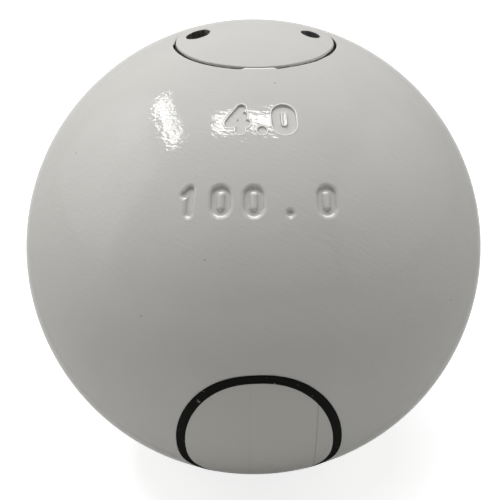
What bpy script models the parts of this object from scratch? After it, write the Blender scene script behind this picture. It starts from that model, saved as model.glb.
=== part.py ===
"""A shot put: a lead-loaded cast-iron ball, closed by a screwed plug with two spanner holes.

Metres, +Z up. The origin is the ball's centre, +Z runs out through the plug, and the stamped
numbers and the label are on the -Y side.
"""

import math

import bmesh
import bpy
from mathutils import Matrix, Vector

# The ball
BALL_RADIUS = 0.050
BALL_RINGS_BELOW = 16
BALL_RINGS_ABOVE = 12
ROUND_STEPS = 48

# Clearances, and how near two points lie when they are one
FIT = 0.0003
CREVICE = 0.00045
WELD = 0.000001

# The plug: a domed head on a relieved neck, then a coarse right-hand thread
HEAD_RADIUS = 0.0167
HEAD_WALL = 0.0050
HEAD_CHAMFER = 0.0003
DOME_RINGS = 4
HEAD_OVERHANG = 0.0022
THREAD_DEPTH = 0.0015
NECK_RELIEF = 0.0004
THREAD_PITCH = 0.0030
THREAD_CREST = 0.0006
THREAD_FLANK = 0.00055
THREAD_REACH = 0.0110
RUN_OUT_TURNS = 0.25
THREAD_SINK = 0.0003
PLUG_CHAMFER = 0.0008

# The two blind holes that a pin spanner turns the plug by
SPANNER_HOLE_RADIUS = 0.0026
SPANNER_HOLE_BELOW_RIM = 0.0036
SPANNER_CIRCLE_RADIUS = 0.01165
SPANNER_TURN = math.radians(1.2)

# What the plug closes in: a rubber ring under its head, a felt wad and the cast lead
WASHER_THICKNESS = 0.0015
WAD_THICKNESS = 0.0040
CAVITY_RADIUS = 0.0215
CAVITY_WALL_HEIGHT = 0.0362
CAVITY_SHOULDER = 0.0090
CAVITY_CORNER = 0.0060

# The stamped numbers: strokes punched along the ball. Each row has the width and height of its
# pen lines, and the latitude, longitude and lean of each character
STAMP_TUBE_RADIUS = 0.0010
STAMP_TUBE_RISE = 0.0003
STAMP_SIDES = 8
STAMP_LOOP_STEPS = 6
STAMP_END_RINGS = ((0.45, 0.85), (0.8, 0.45))
STAMP_DOT_DEPTH = 0.0007
STAMP_DOT_TAPER = 0.55
STAMP_ROWS = (
    (
        0.0030,
        0.0052,
        ((54.2, -6.4, 4.0, "4"), (54.3, 2.8, 0.0, "."), (54.1, 11.4, -5.0, "0")),
    ),
    (
        0.0026,
        0.0048,
        (
            (33.5, -17.5, 5.4, "1"),
            (34.3, -8.9, 4.0, "0"),
            (34.5, 0.0, 0.8, "0"),
            (34.4, 9.5, 0.0, "."),
            (33.6, 19.9, -7.0, "0"),
        ),
    ),
)

# The label: a thin oval that follows the ball
LABEL_LATITUDE = -33.3
LABEL_LONGITUDE = 2.0
LABEL_ROLL = 2.7
LABEL_HALF_WIDTH = 0.0173
LABEL_HALF_HEIGHT = 0.0241
LABEL_FULLNESS = 2.3
LABEL_THICKNESS = 0.00015
LABEL_GAP = 0.00015
LABEL_RINGS = 6
LABEL_STEPS = 40

# Heights along the axis, from the plug's rim down to the floor of the cavity
PORT_RADIUS = HEAD_RADIUS + CREVICE
RIM_Z = math.sqrt(BALL_RADIUS**2 - HEAD_RADIUS**2)
SHOULDER_Z = RIM_Z - HEAD_WALL
WASHER_TOP_Z = SHOULDER_Z - FIT
WASHER_BOTTOM_Z = WASHER_TOP_Z - WASHER_THICKNESS
SEAT_Z = WASHER_BOTTOM_Z - FIT
PLUG_END_Z = SEAT_Z - THREAD_REACH
WAD_TOP_Z = PLUG_END_Z - FIT
WAD_BOTTOM_Z = WAD_TOP_Z - WAD_THICKNESS
LEAD_TOP_Z = WAD_BOTTOM_Z - FIT
CAVITY_TOP_Z = LEAD_TOP_Z - FIT
CAVITY_WALL_TOP_Z = CAVITY_TOP_Z - CAVITY_SHOULDER
CAVITY_CORNER_Z = CAVITY_WALL_TOP_Z - CAVITY_WALL_HEIGHT
CAVITY_FLOOR_Z = CAVITY_CORNER_Z - CAVITY_CORNER

# Radii of the thread and its bore, in from the plug's head
THREAD_RADIUS = HEAD_RADIUS - HEAD_OVERHANG
THREAD_ROOT_RADIUS = THREAD_RADIUS - THREAD_DEPTH
NECK_RADIUS = THREAD_ROOT_RADIUS - NECK_RELIEF
BORE_RADIUS = THREAD_ROOT_RADIUS + FIT

# Colour, metallic and roughness of each finish
FINISHES = {
    "enamel": ((0.45, 0.445, 0.42, 1.0), 0.0, 0.25),
    "cast_iron": ((0.10, 0.10, 0.11, 1.0), 0.8, 0.6),
    "lead": ((0.16, 0.17, 0.19, 1.0), 0.9, 0.55),
    "felt": ((0.22, 0.19, 0.15, 1.0), 0.0, 0.95),
    "rubber": ((0.02, 0.02, 0.02, 1.0), 0.0, 0.8),
    "label_film": ((0.52, 0.515, 0.50, 1.0), 0.0, 0.35),
}


def clear_scene():
    for thing in list(bpy.data.objects):
        bpy.data.objects.remove(thing, do_unlink=True)


def finish(name):
    material = bpy.data.materials.new(name)
    material.use_nodes = True
    shader = material.node_tree.nodes["Principled BSDF"]
    colour, metallic, roughness = FINISHES[name]
    shader.inputs["Base Color"].default_value = colour
    shader.inputs["Metallic"].default_value = metallic
    shader.inputs["Roughness"].default_value = roughness
    material.diffuse_color = colour
    return material


def add_object(name, mesh_builder, material=None):
    mesh = bpy.data.meshes.new(name)
    bmesh.ops.recalc_face_normals(mesh_builder, faces=mesh_builder.faces[:])
    mesh_builder.to_mesh(mesh)
    mesh_builder.free()
    thing = bpy.data.objects.new(name, mesh)
    bpy.context.collection.objects.link(thing)
    if material:
        mesh.materials.append(material)
    mesh.shade_smooth()
    mesh.set_sharp_from_angle(angle=math.radians(30))
    return thing


def mark_cutter(thing):
    thing.hide_render = True
    thing.display_type = "WIRE"
    return thing


def boolean(target, tool, operation):
    modifier = target.modifiers.new(tool.name, "BOOLEAN")
    modifier.operation = operation
    modifier.solver = "MANIFOLD"
    modifier.object = tool


def turned(profile, steps=ROUND_STEPS):
    """A solid of revolution about Z. A profile point is (radius, z), and one on the axis is a pole."""
    shape = bmesh.new()
    rings = []
    for radius, z in profile:
        if radius == 0:
            rings.append([shape.verts.new((0, 0, z))])
            continue
        angles = [2 * math.pi * step / steps for step in range(steps)]
        rings.append([shape.verts.new((radius * math.cos(a), radius * math.sin(a), z)) for a in angles])
    for lower, upper in zip(rings, rings[1:]):
        for step in range(steps):
            after = (step + 1) % steps
            corners = [lower[step % len(lower)], lower[after % len(lower)]]
            corners += [upper[after % len(upper)], upper[step % len(upper)]]
            shape.faces.new(list(dict.fromkeys(corners)))
    return shape


def swept(rings, closed=False):
    """A solid through rings of points that all have the same count, with flat ends unless closed."""
    shape = bmesh.new()
    loops = [[shape.verts.new(point) for point in ring] for ring in rings]
    pairs = list(zip(loops, loops[1:]))
    if closed:
        pairs.append((loops[-1], loops[0]))
    else:
        shape.faces.new(loops[0])
        shape.faces.new(loops[-1])
    for first, second in pairs:
        for side in range(len(first)):
            after = (side + 1) % len(first)
            shape.faces.new((first[side], first[after], second[after]))
            shape.faces.new((first[side], second[after], second[side]))
    return shape


def thread_section(grow):
    """The thread's crest and foot radii and their half widths. The foot lies sunk in the core."""
    flank = THREAD_FLANK / THREAD_DEPTH
    crest_radius = THREAD_RADIUS + grow
    foot_radius = THREAD_ROOT_RADIUS - THREAD_SINK
    half_crest = THREAD_CREST / 2 + grow * (math.sqrt(1 + flank**2) - flank)
    half_foot = half_crest + (crest_radius - foot_radius) * flank
    return crest_radius, foot_radius, half_crest, half_foot


def thread_ridge(name, grow, bottom_z, top_z):
    """The thread's helical ridge. Growing it makes the tool that cuts the groove it runs in."""
    crest_radius, foot_radius, half_crest, half_foot = thread_section(grow)
    slope = (half_foot - half_crest) / (crest_radius - foot_radius)
    first = math.ceil((bottom_z - SEAT_Z) / THREAD_PITCH * ROUND_STEPS)
    last = math.floor((top_z - SEAT_Z) / THREAD_PITCH * ROUND_STEPS)
    run_out = RUN_OUT_TURNS * ROUND_STEPS
    rings = []
    for step in range(first, last + 1):
        rise = min(1.0, (step - first) / run_out, (last - step) / run_out)
        outer = foot_radius + THREAD_SINK / 2 + (crest_radius - foot_radius - THREAD_SINK / 2) * rise
        half_outer = half_crest + (crest_radius - outer) * slope
        z = SEAT_Z + THREAD_PITCH * step / ROUND_STEPS
        angle = 2 * math.pi * step / ROUND_STEPS
        outline = (
            (foot_radius, -half_foot),
            (outer, -half_outer),
            (outer, half_outer),
            (foot_radius, half_foot),
        )
        rings.append([(r * math.cos(angle), r * math.sin(angle), z + dz) for r, dz in outline])
    return add_object(name, swept(rings))


def on_ball(latitude, longitude, east, north, radius):
    """The point that lies some distance east and north of a place on the ball, at a given radius."""
    lat = math.radians(latitude)
    lon = math.radians(longitude)
    outward = Vector((math.cos(lat) * math.sin(lon), -math.cos(lat) * math.cos(lon), math.sin(lat)))
    eastward = Vector((math.cos(lon), math.sin(lon), 0))
    northward = outward.cross(eastward)
    away = math.hypot(east, north)
    if away == 0:
        return outward * radius
    heading = (eastward * east + northward * north) / away
    arc = away / BALL_RADIUS
    return (outward * math.cos(arc) + heading * math.sin(arc)) * radius


def oval(half_width, half_height, count, fullness=2.0):
    """Points round an oval. Fullness 2 is an ellipse, and more is nearer to a rounded rectangle."""
    points = []
    for step in range(count):
        angle = 2 * math.pi * step / count
        across = math.copysign(abs(math.cos(angle)) ** (2 / fullness), math.cos(angle))
        along = math.copysign(abs(math.sin(angle)) ** (2 / fullness), math.sin(angle))
        points.append((half_width * across, half_height * along))
    return points


def rounded_loop(half_width, half_height, steps):
    """An upright loop with straight sides and half-round ends."""
    points = []
    for side in (1, -1):
        for step in range(steps + 1):
            angle = math.pi * (step / steps + (side < 0))
            middle = side * (half_height - half_width)
            points.append((half_width * math.cos(angle), middle + half_width * math.sin(angle)))
    return points


def leaning(points, lean):
    """Points turned about the middle, by degrees that lean their top to the left."""
    turn = math.radians(lean)
    return [
        (x * math.cos(turn) - y * math.sin(turn), y * math.cos(turn) + x * math.sin(turn)) for x, y in points
    ]


def strokes(character, width, height, lean):
    """A character's pen strokes, each as (points, closed), about its middle."""
    wide = width / 2
    tall = height / 2
    if character == "0":
        return [(leaning(rounded_loop(wide, tall, STAMP_LOOP_STEPS), lean), True)]
    lines = {
        "1": [((-0.7, 0.5), (0.0, 0.95)), ((0.1, 1.0), (0.1, -1.0))],
        "4": [((0.4, -1.0), (0.4, 0.95)), ((0.3, 1.0), (-1.05, -0.3)), ((-1.0, -0.4), (1.1, -0.4))],
    }
    return [(leaning([(x * wide, y * tall) for x, y in line], lean), False) for line in lines[character]]


def stamp_dot(name, place, height):
    """The punch mark of a decimal point: a round pit at the foot of its place in the row."""
    rings = []
    for radius, size in ((BALL_RADIUS + STAMP_DOT_DEPTH, 1.0), (BALL_RADIUS - STAMP_DOT_DEPTH, STAMP_DOT_TAPER)):
        spots = oval(STAMP_TUBE_RADIUS * size, STAMP_TUBE_RADIUS * size, STAMP_SIDES)
        rings.append([on_ball(*place, x, y - height / 2, radius) for x, y in spots])
    return mark_cutter(add_object(name, swept(rings)))


def stamp_tube(name, place, points, closed):
    """The rounded punch mark of one stroke, as a tube that runs just above the ball's surface."""
    radius = BALL_RADIUS + STAMP_TUBE_RISE
    path = [on_ball(*place, x, y, radius) for x, y in points]
    sizes = [1.0] * len(path)
    if not closed:
        start, end = path
        along = (end - start).normalized() * STAMP_TUBE_RADIUS
        for reach, size in STAMP_END_RINGS:
            path = [start - along * reach, *path, end + along * reach]
            sizes = [size, *sizes, size]
    rings = []
    for index, centre in enumerate(path):
        before = path[index - 1] if closed or index else centre
        after = path[(index + 1) % len(path)] if closed or index + 1 < len(path) else centre
        outward = centre.normalized()
        sideways = (after - before).cross(outward).normalized()
        reach = STAMP_TUBE_RADIUS * sizes[index]
        angles = [2 * math.pi * (side + 0.5) / STAMP_SIDES for side in range(STAMP_SIDES)]
        rings.append([centre + (sideways * math.cos(a) + outward * math.sin(a)) * reach for a in angles])
    return mark_cutter(add_object(name, swept(rings, closed)))


def ball_profile():
    """The shell's outline from the bottom pole, round the outside, and in through the port."""
    port_angle = math.acos(PORT_RADIUS / BALL_RADIUS)
    angles = [-math.pi / 2 * (1 - ring / BALL_RINGS_BELOW) for ring in range(1, BALL_RINGS_BELOW)]
    angles += [port_angle * ring / BALL_RINGS_ABOVE for ring in range(BALL_RINGS_ABOVE + 1)]
    outline = [(0, -BALL_RADIUS)]
    outline += [(BALL_RADIUS * math.cos(angle), BALL_RADIUS * math.sin(angle)) for angle in angles]
    outline += [
        (PORT_RADIUS, SEAT_Z),
        (BORE_RADIUS, SEAT_Z),
        (BORE_RADIUS, CAVITY_TOP_Z),
        (CAVITY_RADIUS, CAVITY_WALL_TOP_Z),
        (CAVITY_RADIUS, CAVITY_CORNER_Z),
        (CAVITY_RADIUS - CAVITY_CORNER, CAVITY_FLOOR_Z),
        (0, CAVITY_FLOOR_Z),
    ]
    return outline


def make_shell():
    shell = add_object("shell", turned(ball_profile()), finish("enamel"))
    groove = thread_ridge("groove_cutter", FIT, PLUG_END_Z - THREAD_PITCH / 2, SEAT_Z + THREAD_PITCH)
    boolean(shell, mark_cutter(groove), "DIFFERENCE")
    for row, (width, height, characters) in enumerate(STAMP_ROWS):
        for slot, (latitude, longitude, lean, character) in enumerate(characters):
            name = f"stamp_{row}_{slot}"
            place = (latitude, longitude)
            if character == ".":
                boolean(shell, stamp_dot(name, place, height), "DIFFERENCE")
                continue
            for part, (points, closed) in enumerate(strokes(character, width, height, lean)):
                boolean(shell, stamp_tube(f"{name}_{part}", place, points, closed), "DIFFERENCE")
    weld = shell.modifiers.new("weld", "WELD")
    weld.merge_threshold = WELD
    return shell


def make_lead_core():
    slope = (CAVITY_RADIUS - BORE_RADIUS) / CAVITY_SHOULDER
    neck = FIT * (math.sqrt(1 + slope**2) - slope)
    corner = FIT * (math.sqrt(2) - 1)
    profile = [
        (0, CAVITY_FLOOR_Z + FIT),
        (CAVITY_RADIUS - CAVITY_CORNER - corner, CAVITY_FLOOR_Z + FIT),
        (CAVITY_RADIUS - FIT, CAVITY_CORNER_Z + corner),
        (CAVITY_RADIUS - FIT, CAVITY_WALL_TOP_Z - neck),
        (BORE_RADIUS - FIT, CAVITY_TOP_Z - neck),
        (BORE_RADIUS - FIT, LEAD_TOP_Z),
        (0, LEAD_TOP_Z),
    ]
    return add_object("lead_core", turned(profile), finish("lead"))


def make_packing_wad():
    radius = BORE_RADIUS - FIT
    profile = [(0, WAD_BOTTOM_Z), (radius, WAD_BOTTOM_Z), (radius, WAD_TOP_Z), (0, WAD_TOP_Z)]
    return add_object("packing_wad", turned(profile), finish("felt"))


def make_sealing_washer(carrier):
    inner = NECK_RADIUS + FIT
    outer = HEAD_RADIUS - FIT
    low = WASHER_BOTTOM_Z
    high = WASHER_TOP_Z
    profile = [(inner, low), (outer, low), (outer, high), (inner, high), (inner, low)]
    shape = turned(profile)
    bmesh.ops.remove_doubles(shape, verts=shape.verts[:], dist=WELD)
    washer = add_object("sealing_washer", shape, finish("rubber"))
    washer.parent = carrier
    return washer


def plug_profile():
    neck_end = SEAT_Z - FIT
    rim = (HEAD_RADIUS - HEAD_CHAMFER, math.sqrt(BALL_RADIUS**2 - (HEAD_RADIUS - HEAD_CHAMFER) ** 2))
    outline = [
        (0, PLUG_END_Z),
        (THREAD_ROOT_RADIUS - PLUG_CHAMFER, PLUG_END_Z),
        (THREAD_ROOT_RADIUS, PLUG_END_Z + PLUG_CHAMFER),
        (THREAD_ROOT_RADIUS, neck_end - (THREAD_ROOT_RADIUS - NECK_RADIUS)),
        (NECK_RADIUS, neck_end),
        (NECK_RADIUS, SHOULDER_Z),
        (HEAD_RADIUS, SHOULDER_Z),
        (HEAD_RADIUS, RIM_Z - HEAD_CHAMFER),
        rim,
    ]
    for ring in range(1, DOME_RINGS):
        angle = math.asin(rim[0] / BALL_RADIUS) * (1 - ring / DOME_RINGS)
        outline.append((BALL_RADIUS * math.sin(angle), BALL_RADIUS * math.cos(angle)))
    outline.append((0, BALL_RADIUS))
    return outline


def make_filler_plug(carrier):
    plug = add_object("filler_plug", turned(plug_profile()), finish("enamel"))
    half_foot = thread_section(0)[-1]
    bottom = PLUG_END_Z + PLUG_CHAMFER + half_foot
    top = SEAT_Z - FIT - NECK_RELIEF - half_foot
    ridge = thread_ridge("thread_ridge", 0, bottom, top)
    boolean(plug, mark_cutter(ridge), "UNION")
    for side in (0, 1):
        angle = SPANNER_TURN + math.pi * side
        top = BALL_RADIUS + FIT
        foot = RIM_Z - SPANNER_HOLE_BELOW_RIM
        profile = [(0, foot), (SPANNER_HOLE_RADIUS, foot), (SPANNER_HOLE_RADIUS, top), (0, top)]
        hole = mark_cutter(add_object(f"spanner_hole_{side}", turned(profile, 20)))
        reach = SPANNER_CIRCLE_RADIUS
        hole.location = (reach * math.cos(angle), reach * math.sin(angle), 0)
        boolean(plug, hole, "DIFFERENCE")
    plug.parent = carrier
    return plug


def make_blank_label():
    """A thin oval shell: rings of points out from its middle, on an outer and an inner face."""
    roll = Matrix.Rotation(math.radians(LABEL_ROLL), 2)
    shape = bmesh.new()
    faces = []
    for radius in (BALL_RADIUS + LABEL_GAP, BALL_RADIUS + LABEL_GAP + LABEL_THICKNESS):
        rings = [[shape.verts.new(on_ball(LABEL_LATITUDE, LABEL_LONGITUDE, 0, 0, radius))]]
        for ring in range(1, LABEL_RINGS + 1):
            share = ring / LABEL_RINGS
            half_width, half_height = LABEL_HALF_WIDTH * share, LABEL_HALF_HEIGHT * share
            outline = oval(half_width, half_height, LABEL_STEPS, LABEL_FULLNESS)
            turned_points = [roll @ Vector(point) for point in outline]
            places = [on_ball(LABEL_LATITUDE, LABEL_LONGITUDE, p.x, p.y, radius) for p in turned_points]
            rings.append([shape.verts.new(place) for place in places])
        faces.append(rings)
    lower, upper = faces
    for rings in faces:
        for step in range(LABEL_STEPS):
            after = (step + 1) % LABEL_STEPS
            shape.faces.new((rings[0][0], rings[1][step], rings[1][after]))
        for inner, outer in zip(rings[1:], rings[2:]):
            for step in range(LABEL_STEPS):
                after = (step + 1) % LABEL_STEPS
                shape.faces.new((inner[step], outer[step], outer[after]))
                shape.faces.new((inner[step], outer[after], inner[after]))
    for step in range(LABEL_STEPS):
        after = (step + 1) % LABEL_STEPS
        shape.faces.new((lower[-1][step], upper[-1][step], upper[-1][after]))
        shape.faces.new((lower[-1][step], upper[-1][after], lower[-1][after]))
    return add_object("blank_label", shape, finish("label_film"))


def main():
    clear_scene()
    plug_axis = bpy.data.objects.new("plug_axis", None)
    plug_axis.location = (0, 0, 0)
    bpy.context.collection.objects.link(plug_axis)
    make_shell()
    make_lead_core()
    make_packing_wad()
    make_sealing_washer(plug_axis)
    make_filler_plug(plug_axis)
    make_blank_label()


main()
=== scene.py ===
"""The looks of a shot put: painted ball, screwed plug, sealing ring, felt wad and a blank label.

Metres, +Z up, the ball's centre at the origin, its stamped numbers and label on the -Y side.
"""

import math

import bmesh
import bpy
import numpy as np
from mathutils import Matrix, Vector


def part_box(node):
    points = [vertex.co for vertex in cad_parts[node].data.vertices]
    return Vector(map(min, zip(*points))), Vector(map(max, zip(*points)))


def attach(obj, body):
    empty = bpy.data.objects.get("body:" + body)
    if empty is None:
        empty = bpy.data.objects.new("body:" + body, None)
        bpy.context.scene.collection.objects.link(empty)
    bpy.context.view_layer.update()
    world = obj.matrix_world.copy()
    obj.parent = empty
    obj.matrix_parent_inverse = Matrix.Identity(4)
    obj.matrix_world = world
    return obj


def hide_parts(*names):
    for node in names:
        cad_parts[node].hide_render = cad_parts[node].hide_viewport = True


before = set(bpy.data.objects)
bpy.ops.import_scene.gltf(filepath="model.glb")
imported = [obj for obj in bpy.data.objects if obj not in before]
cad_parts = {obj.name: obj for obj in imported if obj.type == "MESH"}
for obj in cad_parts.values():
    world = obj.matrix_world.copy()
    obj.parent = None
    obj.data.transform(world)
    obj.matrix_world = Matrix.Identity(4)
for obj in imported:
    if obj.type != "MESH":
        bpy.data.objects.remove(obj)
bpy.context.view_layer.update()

MM = 0.001

# Sizes of the ball and its plug, the same as the solids have
BALL_RADIUS = 0.050
HEAD_RADIUS = 0.0167
THREAD_RADIUS = HEAD_RADIUS - 0.0022
THREAD_ROOT_RADIUS = THREAD_RADIUS - 0.0015
NECK_RADIUS = THREAD_ROOT_RADIUS - 0.0004
THREAD_PITCH = 0.0030
HALF_CREST = 0.0003
FLANK = 0.00055 / 0.0015
FIT = 0.0003
BORE_RADIUS = THREAD_ROOT_RADIUS + FIT
PORT_RADIUS = HEAD_RADIUS + 0.00045

plug_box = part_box("filler_plug")
washer_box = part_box("sealing_washer")
wad_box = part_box("packing_wad")
lead_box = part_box("lead_core")
SEAT_Z = washer_box[0][2] - FIT
SHOULDER_Z = washer_box[1][2] + FIT
PLUG_END_Z = plug_box[0][2]
CAVITY_TOP_Z = wad_box[0][2] - 2 * FIT
CAVITY_FLOOR_Z = lead_box[0][2] - FIT
CAVITY_RADIUS = lead_box[1][0] + FIT

# How a punch mark looks. reach is half the width of a pen line, depth how deep the mark is, slope
# how many mm deeper its top is, wall the share of the reach that the side wall takes, bowl how
# round the bottom is, lip the raised edge, and shoulder the sunk edge, which is SHOULDER_REACH wide
CRISP = {
    "reach": 0.97 * MM,
    "depth": 0.40 * MM,
    "slope": 0.12,
    "wall": 0.26,
    "bowl": 0.15,
    "lip": 0.07 * MM,
    "shoulder": 0.0,
}
SOFT = {
    "reach": 0.90 * MM,
    "depth": 0.74 * MM,
    "slope": 0.08,
    "wall": 0.65,
    "bowl": 0.15,
    "lip": 0.01 * MM,
    "shoulder": 0.13 * MM,
}
SHOULDER_REACH = 0.30 * MM
LIP_PLACE = 0.10 * MM
LIP_WIDTH = 0.15 * MM
DENT_DEPTH = 0.018 * MM
DENT_WIDTH = 1.9 * MM

# Rows of stamped numbers: the look of the marks, the half width and half height of a character, and
# the latitude, longitude and lean in degrees of each one
STAMP_ROWS = (
    (
        CRISP,
        1.50 * MM,
        2.60 * MM,
        ((54.2, -6.4, 4.0, "4"), (54.3, 2.8, 0.0, "."), (54.1, 11.4, -5.0, "0")),
    ),
    (
        SOFT,
        1.30 * MM,
        2.42 * MM,
        (
            (33.5, -17.5, 5.4, "1"),
            (34.3, -8.9, 4.0, "0"),
            (34.5, 0.0, 0.8, "0"),
            (34.4, 9.5, 0.0, "."),
            (33.6, 19.9, -7.0, "0"),
        ),
    ),
)

# Label: where its middle lies and how far it is turned, in degrees, its oval, and how much fuller
# than an ellipse the oval is, where 2 is an ellipse
LABEL_LATITUDE = -33.5
LABEL_LONGITUDE = 2.05
LABEL_ROLL = 2.7
LABEL_HALF_WIDTH = 17.38 * MM
LABEL_HALF_HEIGHT = 24.4 * MM
LABEL_BORDER = 1.98 * MM
LABEL_FULLNESS = 2.25

# Painted shade of faint folds in the label: how far right of the ball's middle, and how dark
LABEL_FOLD_SHADES = ((13.1 * MM, 0.3), (-0.5 * MM, 0.06))
FOLD_SHADE_CORE = 0.05 * MM
FOLD_SHADE_EDGE = 0.15 * MM

# The pale specks worn into the label's border
WORN_SHADE = 0.25

# Light
WHITE = (1.0, 1.0, 1.0)
WARM = (1.0, 0.99, 0.86)
FLOOR_GLOW = 0.8

# Camera: how far from the ball's centre, how high and how tilted it is, and how large and where the
# ball lies in the picture, in pixels
PICTURE = 500
CAMERA_DISTANCE = 0.350
CAMERA_ELEVATION = math.radians(24.6)
CAMERA_ROLL = math.radians(0.356)
BALL_PIXEL_RADIUS = 227.4
BALL_PIXEL = (253.5, 246.4)

# Lengths are kept above this where something is divided by them
NO_LENGTH = 1e-12


def smooth(t):
    """A soft step from 0 to 1."""
    t = np.clip(t, 0, 1)
    return t * t * (3 - 2 * t)


def node_material(name):
    """A new material, with its nodes, its links and its shader."""
    material = bpy.data.materials.new(name)
    material.use_nodes = True
    nodes = material.node_tree.nodes
    return material, nodes, material.node_tree.links, nodes["Principled BSDF"]


def noise(nodes, links, coordinates, scale, detail, roughness):
    node = nodes.new("ShaderNodeTexNoise")
    node.inputs["Scale"].default_value = scale
    node.inputs["Detail"].default_value = detail
    node.inputs["Roughness"].default_value = roughness
    links.new(coordinates, node.inputs["Vector"])
    return node.outputs["Fac"]


def ramp(nodes, links, value, stops):
    """A colour for each value, from (value, colour) pairs."""
    node = nodes.new("ShaderNodeValToRGB")
    elements = node.color_ramp.elements
    while len(elements) < len(stops):
        elements.new(0.5)
    for element, (place, colour) in zip(elements, stops):
        element.position = place
        element.color = (*colour, 1.0)
    links.new(value, node.inputs["Fac"])
    return node.outputs["Color"]


def bump(nodes, links, height, distance, under=None):
    node = nodes.new("ShaderNodeBump")
    node.inputs["Strength"].default_value = 1.0
    node.inputs["Distance"].default_value = distance
    links.new(height, node.inputs["Height"])
    if under is not None:
        links.new(under, node.inputs["Normal"])
    return node.outputs["Normal"]


def arithmetic(nodes, links, operation, first, second=None):
    """One Math node, from sockets or from a socket and a number."""
    node = nodes.new("ShaderNodeMath")
    node.operation = operation
    for socket, value in zip(node.inputs, (first, second)):
        if isinstance(value, bpy.types.NodeSocket):
            links.new(value, socket)
        elif value is not None:
            socket.default_value = value
    return node.outputs[0]


def darkened_near(nodes, links, colour, distance, near, far, least):
    """The colour times least where the distance is under near, rising to its full self at far."""
    share = nodes.new("ShaderNodeMapRange")
    share.inputs["From Min"].default_value = near
    share.inputs["From Max"].default_value = far
    share.inputs["To Min"].default_value = least
    share.inputs["To Max"].default_value = 1.0
    links.new(distance, share.inputs["Value"])
    darker = nodes.new("ShaderNodeVectorMath")
    darker.operation = "SCALE"
    links.new(colour, darker.inputs[0])
    links.new(share.outputs["Result"], darker.inputs["Scale"])
    return darker.outputs[0]


def object_place(nodes):
    """The place on the piece, in its own coordinates."""
    return nodes.new("ShaderNodeTexCoord").outputs["Object"]


ENAMEL = (0.575, 0.568, 0.545)

# Dust nibs under the enamel, as places on the ball
NIBS = (
    (-0.03631, -0.01832, 0.02909),
    (-0.02185, -0.04465, 0.00537),
    (-0.00925, -0.04572, 0.01801),
    (0.00406, -0.02094, 0.04522),
    (0.04053, -0.02924, 0.00159),
    (-0.01260, -0.04078, 0.02605),
)
NIB_CORE = 0.08 * MM
NIB_EDGE = 0.20 * MM
NIB_SHADE = 0.35

# Ripples in the enamel: broad orange peel, and fine streaks across it. SCALE is of the noise, TURN
# is in degrees, and STRETCH is how much longer than wide a streak is
PEEL_SCALE = 450
PEEL_DEPTH = 0.00004
STREAK_SCALE = 1500
STREAK_DEPTH = 0.000042
STREAK_TURN = 27
STREAK_STRETCH = 7.0

# Specular level at each facing value that keeps the reflection of the white surround at 4%
# from the middle of the ball to its rim
EVEN_GLOSS = (
    (0.0, 0.5), (0.1, 0.490), (0.2, 0.453), (0.3, 0.378), (0.4, 0.262), (0.5, 0.135),
    (0.6, 0.050), (0.7, 0.013), (0.8, 0.002), (1.0, 0.0),
)


def even_gloss(nodes, links, shader, share):
    """Gives a shader a share of the gloss in the table above."""
    facing = nodes.new("ShaderNodeLayerWeight")
    facing.inputs["Blend"].default_value = 0.5
    stops = [(at, (level * share,) * 3) for at, level in EVEN_GLOSS]
    gloss = ramp(nodes, links, facing.outputs["Facing"], stops)
    links.new(gloss, shader.inputs["Specular IOR Level"])


def enamel_material(name, roughness, pale=1.0):
    """Warm-white enamel with orange peel, fine streaks, faint mottling and a few dark dust nibs."""
    material, nodes, links, shader = node_material(name)
    place = object_place(nodes)
    mottle = noise(nodes, links, place, 60, 3, 0.55)
    # pale above 1 gives a paler copy of the enamel, used for painted highlights
    low = tuple(channel * 0.975 * pale for channel in ENAMEL)
    high = tuple(channel * 1.02 * pale for channel in ENAMEL)
    colour = ramp(nodes, links, mottle, ((0.3, low), (0.7, high)))
    nearest = None
    for nib in NIBS:
        away = nodes.new("ShaderNodeVectorMath")
        away.operation = "DISTANCE"
        away.inputs[1].default_value = nib
        links.new(place, away.inputs[0])
        distance = away.outputs["Value"]
        if nearest is not None:
            distance = arithmetic(nodes, links, "MINIMUM", nearest, distance)
        nearest = distance
    spotted = darkened_near(nodes, links, colour, nearest, NIB_CORE, NIB_EDGE, NIB_SHADE)
    links.new(spotted, shader.inputs["Base Color"])
    shader.inputs["Roughness"].default_value = roughness
    even_gloss(nodes, links, shader, 1.0)
    drawn = nodes.new("ShaderNodeMapping")
    drawn.vector_type = "TEXTURE"
    drawn.inputs["Rotation"].default_value = (0.0, math.radians(STREAK_TURN), 0.0)
    drawn.inputs["Scale"].default_value = (STREAK_STRETCH, 1.0, 1.0)
    links.new(place, drawn.inputs["Vector"])
    coarse = noise(nodes, links, place, PEEL_SCALE, 2, 0.5)
    fine = noise(nodes, links, drawn.outputs["Vector"], STREAK_SCALE, 1, 0.5)
    peel = bump(nodes, links, coarse, PEEL_DEPTH)
    peel = bump(nodes, links, fine, STREAK_DEPTH, under=peel)
    links.new(peel, shader.inputs["Normal"])
    return material


def painted_fold_shade(nodes, links, shade, place, across, depth):
    """Painted shade of a fold: a thin darker upright line, at one distance to the right of the
    ball's middle.
    """
    apart = nodes.new("ShaderNodeSeparateXYZ")
    links.new(place, apart.inputs[0])
    away = arithmetic(nodes, links, "SUBTRACT", apart.outputs["X"], across)
    away = arithmetic(nodes, links, "ABSOLUTE", away)
    return darkened_near(nodes, links, shade, away, FOLD_SHADE_CORE, FOLD_SHADE_EDGE, 1 - depth)


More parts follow.
